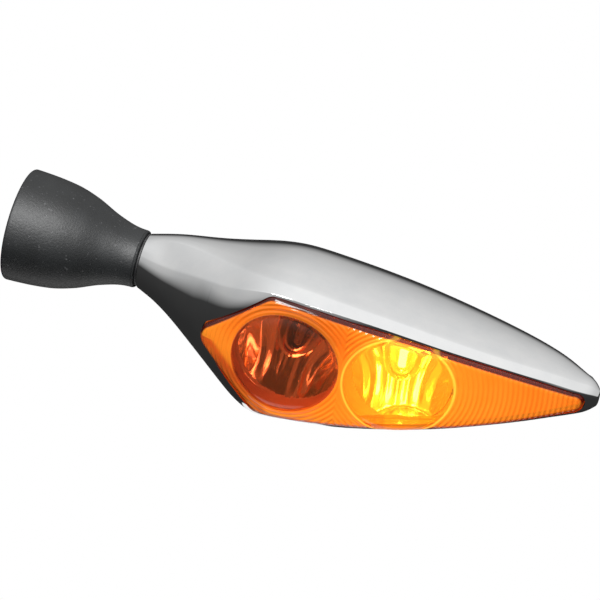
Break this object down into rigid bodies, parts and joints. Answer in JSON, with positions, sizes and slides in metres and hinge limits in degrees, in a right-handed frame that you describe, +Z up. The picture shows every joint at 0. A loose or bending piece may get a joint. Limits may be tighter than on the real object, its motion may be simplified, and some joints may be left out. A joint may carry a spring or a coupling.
{
  "type": "turn signal indicator",
  "caption": "Motorcycle turn signal with a chromed kite-shaped head, an amber lens over two round lamps, and a flexible black rubber stem that springs back.",
  "frame": {"origin": "centre of the rubber foot's mounting face, on the axis of the threaded insert", "axes": "+X along the stem towards the tip of the head, -Y towards the lit front, +Z up"},
  "size_m": [0.1134, 0.0309, 0.0284],
  "materials": {
    "rubber": "matte",
    "seal": "matte",
    "brass": "satin",
    "sleeve": "matte",
    "chrome": "polished",
    "amber": "clear gloss",
    "metallised": "polished",
    "bulb": "clear",
    "tungsten": "satin",
    "holder": "matte",
    "steel": "satin",
    "lead_signal": "gloss",
    "lead_position": "gloss",
    "lead_ground": "gloss"
  },
  "bodies": {
    "foot": {"rubber_foot": "rubber", "threaded_insert": "brass"},
    "stem_core": {"wire_sleeve": "sleeve"},
    "head": {"neck_seal": "seal", "cable_grommet": "seal", "housing": "chrome", "lens": "amber", "lens_gasket": "seal", "reflector": "metallised", "lens_screw": "steel", "screw_seal": "seal", "position_bulb_glass": "bulb", "position_bulb_filament": "tungsten", "position_holder": "holder", "position_contacts": "brass", "signal_bulb_glass": "bulb", "signal_bulb_filament": "tungsten", "signal_holder": "holder", "signal_contacts": "brass", "ground_lug": "brass", "ground_screw": "steel", "signal_lead": "lead_signal", "position_lead": "lead_position", "ground_lead": "lead_ground", "ground_jumper": "lead_ground"}
  },
  "joints": [
    {"name": "stem_bend_up_down", "type": "hinge", "parent": "foot", "child": "stem_core", "pos_m": [0.013, 0, 0], "axis": [0, 1, 0], "range_deg": [-25, 25], "stiffness_Nm_per_rad": 6, "deforming": ["rubber_foot"]},
    {"name": "stem_bend_fore_aft", "type": "hinge", "parent": "stem_core", "child": "head", "pos_m": [0.013, 0, 0], "axis": [0, 0, 1], "range_deg": [-25, 25], "stiffness_Nm_per_rad": 6, "deforming": ["rubber_foot"]}
  ]
}
